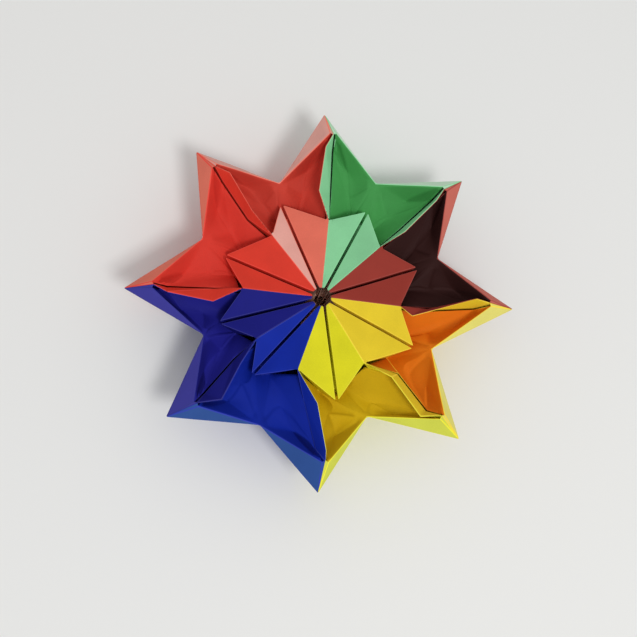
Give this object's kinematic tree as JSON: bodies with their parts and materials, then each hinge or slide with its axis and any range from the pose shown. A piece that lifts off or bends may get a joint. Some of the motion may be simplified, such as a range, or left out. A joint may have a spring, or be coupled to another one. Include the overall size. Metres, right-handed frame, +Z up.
{
  "type": "modular origami star",
  "caption": "Pointed paper star folded from coloured square sheets glued side by side in a ring, with a rosette of pleated kites in the middle and open cups behind the tips.",
  "frame": {"origin": "middle of the flat base, on the table", "axes": "+Z up out of the rosette, +Y along the glued wall between the coral and the green unit"},
  "size_m": [0.148, 0.148, 0.031],
  "materials": {
    "paper_green": "matte",
    "paper_brown": "matte",
    "paper_amber": "matte",
    "paper_lemon": "matte",
    "paper_blue": "matte",
    "paper_indigo": "matte",
    "paper_red": "matte",
    "paper_coral": "matte"
  },
  "bodies": {
    "root": {"unit_green": "paper_green", "unit_brown": "paper_brown", "unit_amber": "paper_amber", "unit_lemon": "paper_lemon", "unit_blue": "paper_blue", "unit_indigo": "paper_indigo", "unit_red": "paper_red", "unit_coral": "paper_coral"}
  },
  "joints": []
}
